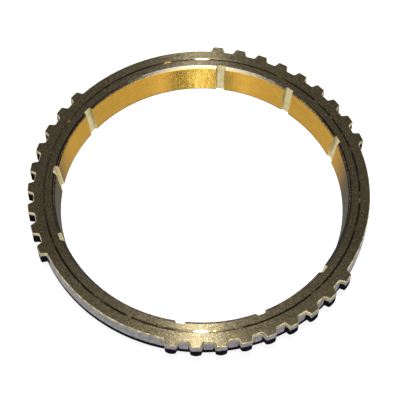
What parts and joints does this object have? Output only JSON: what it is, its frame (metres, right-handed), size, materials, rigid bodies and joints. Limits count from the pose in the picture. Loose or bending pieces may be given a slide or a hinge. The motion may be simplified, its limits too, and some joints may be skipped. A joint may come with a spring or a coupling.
{
  "type": "synchronizer ring",
  "caption": "Flat brass ring with an internal friction cone cut by oil grooves, and external blocking teeth in three groups.",
  "frame": {"origin": "on the ring's axis, in the plane of the hub-side face that it rests on", "axes": "+Z along the ring's axis, from the hub-side face towards the gear-side face where the cone is widest; +X through the middle of one of the three arcs without teeth"},
  "size_m": [0.0786, 0.08, 0.008],
  "materials": {
    "brass": "dark patina on the turned faces, bright gold on the internal cone, worn pale on the tooth edges"
  },
  "bodies": {
    "root": {"synchronizer_ring": "brass"}
  },
  "joints": []
}
